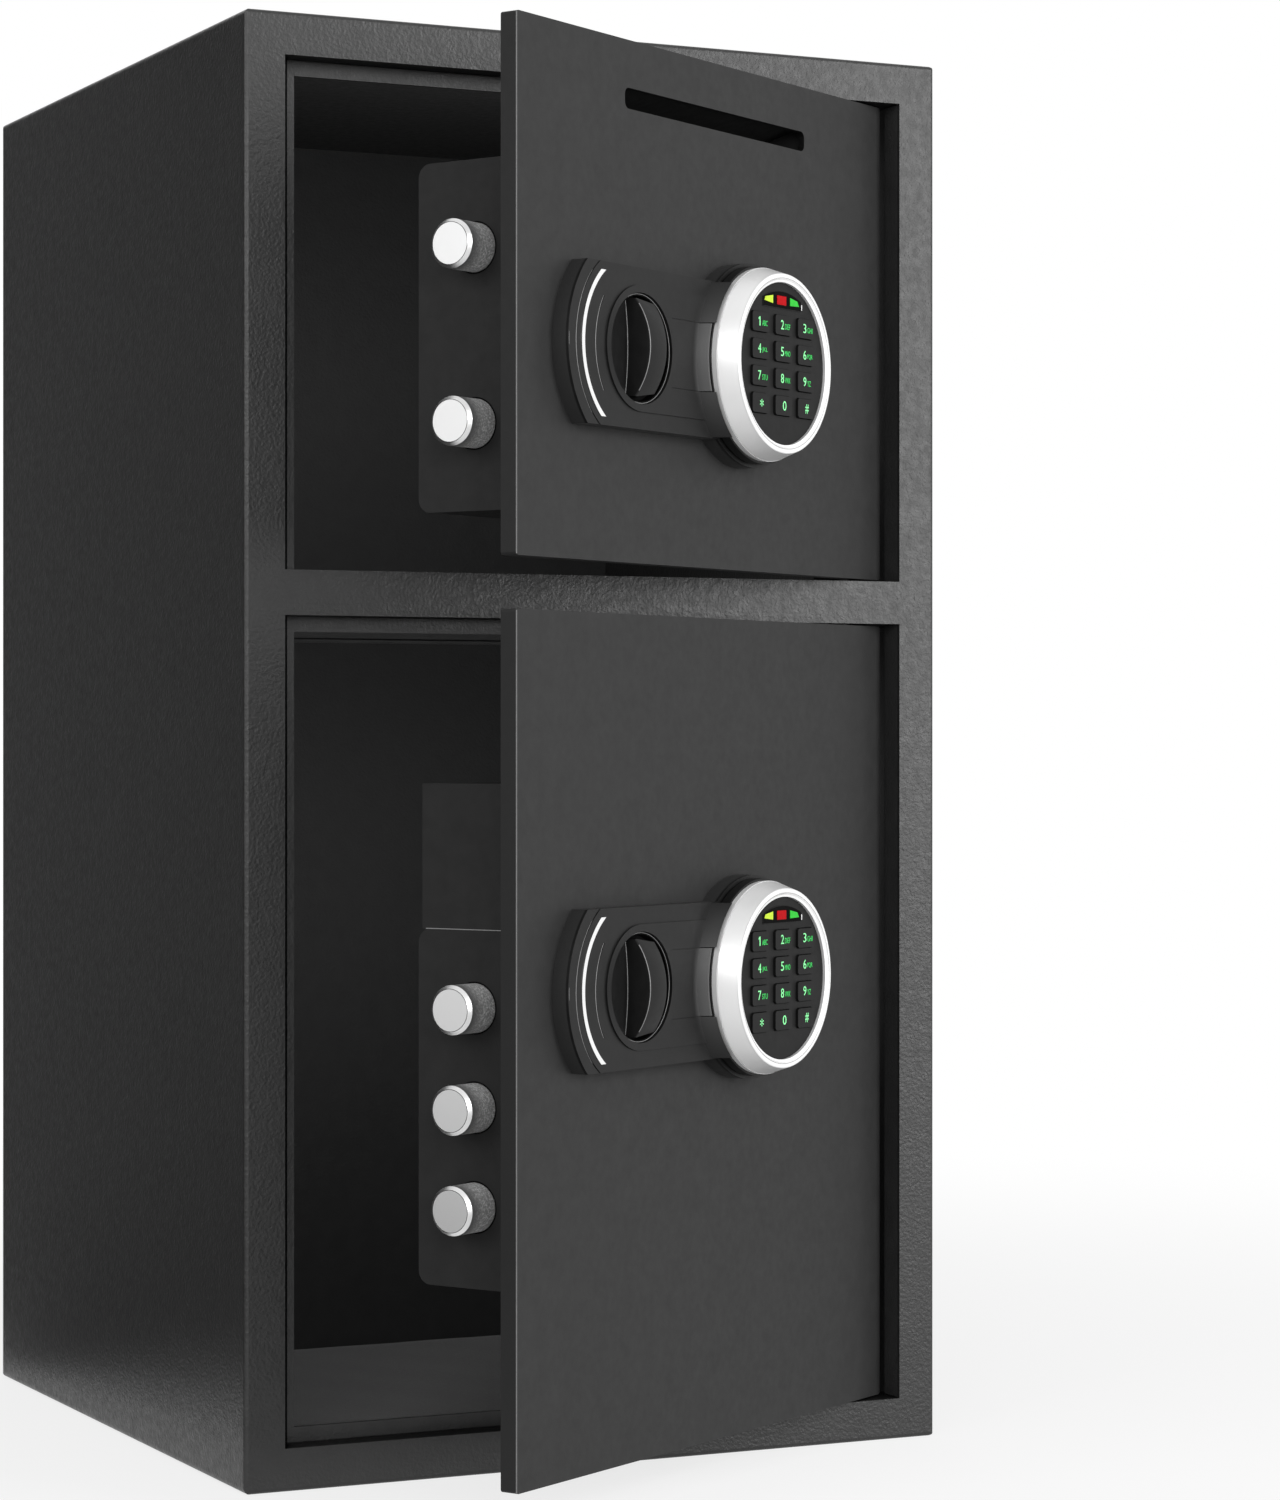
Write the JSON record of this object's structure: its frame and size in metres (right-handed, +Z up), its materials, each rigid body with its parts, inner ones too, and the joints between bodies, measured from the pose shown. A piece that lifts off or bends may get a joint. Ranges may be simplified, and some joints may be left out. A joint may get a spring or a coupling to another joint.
{
  "type": "deposit safe",
  "caption": "Floor-standing steel deposit safe: upper door with drop slot and lower door, each with a turning knob, sliding round keypad and round bolts.",
  "frame": {"origin": "centre of the cabinet's footprint on the floor, which is the middle of the four floor anchor holes", "axes": "+Z up, +Y to the back panel, so the doors face -Y; +X to the hinge side"},
  "size_m": [0.35, 0.4906, 0.65],
  "materials": {
    "powder_coat": "charcoal powder coat with a fine hammered grain",
    "door_coat": "smooth satin charcoal powder coat",
    "box_coat": "matt black-grey paint on folded sheet",
    "lining_paint": "matt black paint",
    "felt": "needled felt",
    "black_plastic": "satin moulded ABS",
    "knob_plastic": "satin moulded ABS",
    "face_plastic": "fine matt ABS",
    "key_plastic": "matt rubberised key caps",
    "bright_chrome": "bright strip",
    "satin_bezel": "satin chromed bezel",
    "bolt_chrome": "chromed steel bar",
    "zinc_steel": "zinc-plated steel",
    "plug_brass": "turned brass"
  },
  "bodies": {
    "cabinet": {"body_shell": "powder_coat", "back_panel": "powder_coat", "door_frames": "lining_paint", "divider_shelf": "lining_paint", "hinge_pins": "zinc_steel", "floor_mats": "felt"},
    "upper_door": {"upper_door_panel": "door_coat", "upper_deposit_chute": "box_coat", "upper_lock_box": "box_coat", "upper_cover_screws": "zinc_steel", "upper_lock_plate": "black_plastic", "upper_accent_strip": "bright_chrome", "upper_solenoid": "zinc_steel"},
    "upper_knob": {"upper_knob": "knob_plastic"},
    "upper_boltwork": {"upper_bolt_carriage": "zinc_steel", "upper_bolts": "bolt_chrome"},
    "upper_plunger": {"upper_plunger": "bolt_chrome"},
    "upper_key_plug": {"upper_key_cylinder": "plug_brass"},
    "upper_keypad": {"upper_keypad_housing": "black_plastic", "upper_keypad_bezel": "satin_bezel", "upper_keypad_face": "face_plastic"},
    "upper_key_1": {"upper_key_1": "key_plastic"},
    "upper_key_2": {"upper_key_2": "key_plastic"},
    "upper_key_3": {"upper_key_3": "key_plastic"},
    "upper_key_4": {"upper_key_4": "key_plastic"},
    "upper_key_5": {"upper_key_5": "key_plastic"},
    "upper_key_6": {"upper_key_6": "key_plastic"},
    "upper_key_7": {"upper_key_7": "key_plastic"},
    "upper_key_8": {"upper_key_8": "key_plastic"},
    "upper_key_9": {"upper_key_9": "key_plastic"},
    "upper_key_star": {"upper_key_star": "key_plastic"},
    "upper_key_0": {"upper_key_0": "key_plastic"},
    "upper_key_hash": {"upper_key_hash": "key_plastic"},
    "lower_door": {"lower_door_panel": "door_coat", "lower_battery_box": "box_coat", "lower_lock_box": "box_coat", "lower_cover_screws": "zinc_steel", "lower_lock_plate": "black_plastic", "lower_accent_strip": "bright_chrome", "lower_solenoid": "zinc_steel"},
    "lower_knob": {"lower_knob": "knob_plastic"},
    "lower_boltwork": {"lower_bolt_carriage": "zinc_steel", "lower_bolts": "bolt_chrome"},
    "lower_plunger": {"lower_plunger": "bolt_chrome"},
    "lower_key_plug": {"lower_key_cylinder": "plug_brass"},
    "lower_keypad": {"lower_keypad_housing": "black_plastic", "lower_keypad_bezel": "satin_bezel", "lower_keypad_face": "face_plastic"},
    "lower_key_1": {"lower_key_1": "key_plastic"},
    "lower_key_2": {"lower_key_2": "key_plastic"},
    "lower_key_3": {"lower_key_3": "key_plastic"},
    "lower_key_4": {"lower_key_4": "key_plastic"},
    "lower_key_5": {"lower_key_5": "key_plastic"},
    "lower_key_6": {"lower_key_6": "key_plastic"},
    "lower_key_7": {"lower_key_7": "key_plastic"},
    "lower_key_8": {"lower_key_8": "key_plastic"},
    "lower_key_9": {"lower_key_9": "key_plastic"},
    "lower_key_star": {"lower_key_star": "key_plastic"},
    "lower_key_0": {"lower_key_0": "key_plastic"},
    "lower_key_hash": {"lower_key_hash": "key_plastic"}
  },
  "joints": [
    {"name": "upper_door_hinge", "type": "hinge", "parent": "cabinet", "child": "upper_door", "pos_m": [0.131, -0.1605, 0.518], "axis": [0, 0, 1], "range_deg": [-30, 70]},
    {"name": "lower_door_hinge", "type": "hinge", "parent": "cabinet", "child": "lower_door", "pos_m": [0.131, -0.1605, 0.202], "axis": [0, 0, 1], "range_deg": [-30, 70]},
    {"name": "upper_knob_turn", "type": "hinge", "parent": "upper_door", "child": "upper_knob", "pos_m": [-0.03553, -0.28205, 0.497], "axis": [0.5, -0.866, 0], "range_deg": [0, 60]},
    {"name": "lower_knob_turn", "type": "hinge", "parent": "lower_door", "child": "lower_knob", "pos_m": [-0.03553, -0.28205, 0.2245], "axis": [0.5, -0.866, 0], "range_deg": [0, 60]},
    {"name": "upper_bolt_throw", "type": "slide", "parent": "upper_door", "child": "upper_boltwork", "axis": [-0.866, -0.5, 0], "range_m": [0, 0.012]},
    {"name": "lower_bolt_throw", "type": "slide", "parent": "lower_door", "child": "lower_boltwork", "axis": [-0.866, -0.5, 0], "range_m": [0, 0.012]},
    {"name": "upper_keypad_slide", "type": "slide", "parent": "upper_door", "child": "upper_keypad", "axis": [0.866, 0.5, 0], "range_m": [0, 0.04]},
    {"name": "lower_keypad_slide", "type": "slide", "parent": "lower_door", "child": "lower_keypad", "axis": [0.866, 0.5, 0], "range_m": [0, 0.04]},
    {"name": "upper_key_turn", "type": "hinge", "parent": "upper_door", "child": "upper_key_plug", "pos_m": [0.02049, -0.24509, 0.497], "axis": [0.5, -0.866, 0], "range_deg": [0, 90]},
    {"name": "lower_key_turn", "type": "hinge", "parent": "lower_door", "child": "lower_key_plug", "pos_m": [0.02049, -0.24509, 0.2245], "axis": [0.5, -0.866, 0], "range_deg": [0, 90]},
    {"name": "upper_plunger_lift", "type": "slide", "parent": "upper_door", "child": "upper_plunger", "axis": [0, 0, 1], "range_m": [0, 0.004], "stiffness_N_per_m": 60, "springref_m": -0.004},
    {"name": "lower_plunger_lift", "type": "slide", "parent": "lower_door", "child": "lower_plunger", "axis": [0, 0, -1], "range_m": [0, 0.004], "stiffness_N_per_m": 60, "springref_m": -0.004},
    {"name": "upper_key_1_press", "type": "slide", "parent": "upper_keypad", "child": "upper_key_1", "axis": [-0.5, 0.866, 0], "range_m": [0, 0.0008], "stiffness_N_per_m": 400, "springref_m": -0.0005},
    {"name": "upper_key_2_press", "type": "slide", "parent": "upper_keypad", "child": "upper_key_2", "axis": [-0.5, 0.866, 0], "range_m": [0, 0.0008], "stiffness_N_per_m": 400, "springref_m": -0.0005},
    {"name": "upper_key_3_press", "type": "slide", "parent": "upper_keypad", "child": "upper_key_3", "axis": [-0.5, 0.866, 0], "range_m": [0, 0.0008], "stiffness_N_per_m": 400, "springref_m": -0.0005},
    {"name": "upper_key_4_press", "type": "slide", "parent": "upper_keypad", "child": "upper_key_4", "axis": [-0.5, 0.866, 0], "range_m": [0, 0.0008], "stiffness_N_per_m": 400, "springref_m": -0.0005},
    {"name": "upper_key_5_press", "type": "slide", "parent": "upper_keypad", "child": "upper_key_5", "axis": [-0.5, 0.866, 0], "range_m": [0, 0.0008], "stiffness_N_per_m": 400, "springref_m": -0.0005},
    {"name": "upper_key_6_press", "type": "slide", "parent": "upper_keypad", "child": "upper_key_6", "axis": [-0.5, 0.866, 0], "range_m": [0, 0.0008], "stiffness_N_per_m": 400, "springref_m": -0.0005},
    {"name": "upper_key_7_press", "type": "slide", "parent": "upper_keypad", "child": "upper_key_7", "axis": [-0.5, 0.866, 0], "range_m": [0, 0.0008], "stiffness_N_per_m": 400, "springref_m": -0.0005},
    {"name": "upper_key_8_press", "type": "slide", "parent": "upper_keypad", "child": "upper_key_8", "axis": [-0.5, 0.866, 0], "range_m": [0, 0.0008], "stiffness_N_per_m": 400, "springref_m": -0.0005},
    {"name": "upper_key_9_press", "type": "slide", "parent": "upper_keypad", "child": "upper_key_9", "axis": [-0.5, 0.866, 0], "range_m": [0, 0.0008], "stiffness_N_per_m": 400, "springref_m": -0.0005},
    {"name": "upper_key_star_press", "type": "slide", "parent": "upper_keypad", "child": "upper_key_star", "axis": [-0.5, 0.866, 0], "range_m": [0, 0.0008], "stiffness_N_per_m": 400, "springref_m": -0.0005},
    {"name": "upper_key_0_press", "type": "slide", "parent": "upper_keypad", "child": "upper_key_0", "axis": [-0.5, 0.866, 0], "range_m": [0, 0.0008], "stiffness_N_per_m": 400, "springref_m": -0.0005},
    {"name": "upper_key_hash_press", "type": "slide", "parent": "upper_keypad", "child": "upper_key_hash", "axis": [-0.5, 0.866, 0], "range_m": [0, 0.0008], "stiffness_N_per_m": 400, "springref_m": -0.0005},
    {"name": "lower_key_1_press", "type": "slide", "parent": "lower_keypad", "child": "lower_key_1", "axis": [-0.5, 0.866, 0], "range_m": [0, 0.0008], "stiffness_N_per_m": 400, "springref_m": -0.0005},
    {"name": "lower_key_2_press", "type": "slide", "parent": "lower_keypad", "child": "lower_key_2", "axis": [-0.5, 0.866, 0], "range_m": [0, 0.0008], "stiffness_N_per_m": 400, "springref_m": -0.0005},
    {"name": "lower_key_3_press", "type": "slide", "parent": "lower_keypad", "child": "lower_key_3", "axis": [-0.5, 0.866, 0], "range_m": [0, 0.0008], "stiffness_N_per_m": 400, "springref_m": -0.0005},
    {"name": "lower_key_4_press", "type": "slide", "parent": "lower_keypad", "child": "lower_key_4", "axis": [-0.5, 0.866, 0], "range_m": [0, 0.0008], "stiffness_N_per_m": 400, "springref_m": -0.0005},
    {"name": "lower_key_5_press", "type": "slide", "parent": "lower_keypad", "child": "lower_key_5", "axis": [-0.5, 0.866, 0], "range_m": [0, 0.0008], "stiffness_N_per_m": 400, "springref_m": -0.0005},
    {"name": "lower_key_6_press", "type": "slide", "parent": "lower_keypad", "child": "lower_key_6", "axis": [-0.5, 0.866, 0], "range_m": [0, 0.0008], "stiffness_N_per_m": 400, "springref_m": -0.0005},
    {"name": "lower_key_7_press", "type": "slide", "parent": "lower_keypad", "child": "lower_key_7", "axis": [-0.5, 0.866, 0], "range_m": [0, 0.0008], "stiffness_N_per_m": 400, "springref_m": -0.0005},
    {"name": "lower_key_8_press", "type": "slide", "parent": "lower_keypad", "child": "lower_key_8", "axis": [-0.5, 0.866, 0], "range_m": [0, 0.0008], "stiffness_N_per_m": 400, "springref_m": -0.0005},
    {"name": "lower_key_9_press", "type": "slide", "parent": "lower_keypad", "child": "lower_key_9", "axis": [-0.5, 0.866, 0], "range_m": [0, 0.0008], "stiffness_N_per_m": 400, "springref_m": -0.0005},
    {"name": "lower_key_star_press", "type": "slide", "parent": "lower_keypad", "child": "lower_key_star", "axis": [-0.5, 0.866, 0], "range_m": [0, 0.0008], "stiffness_N_per_m": 400, "springref_m": -0.0005},
    {"name": "lower_key_0_press", "type": "slide", "parent": "lower_keypad", "child": "lower_key_0", "axis": [-0.5, 0.866, 0], "range_m": [0, 0.0008], "stiffness_N_per_m": 400, "springref_m": -0.0005},
    {"name": "lower_key_hash_press", "type": "slide", "parent": "lower_keypad", "child": "lower_key_hash", "axis": [-0.5, 0.866, 0], "range_m": [0, 0.0008], "stiffness_N_per_m": 400, "springref_m": -0.0005}
  ],
  "couplings": [
    {"joint": "upper_knob_turn", "follows": "upper_bolt_throw", "rad_per_m": 87.266},
    {"joint": "lower_knob_turn", "follows": "lower_bolt_throw", "rad_per_m": 87.266}
  ]
}
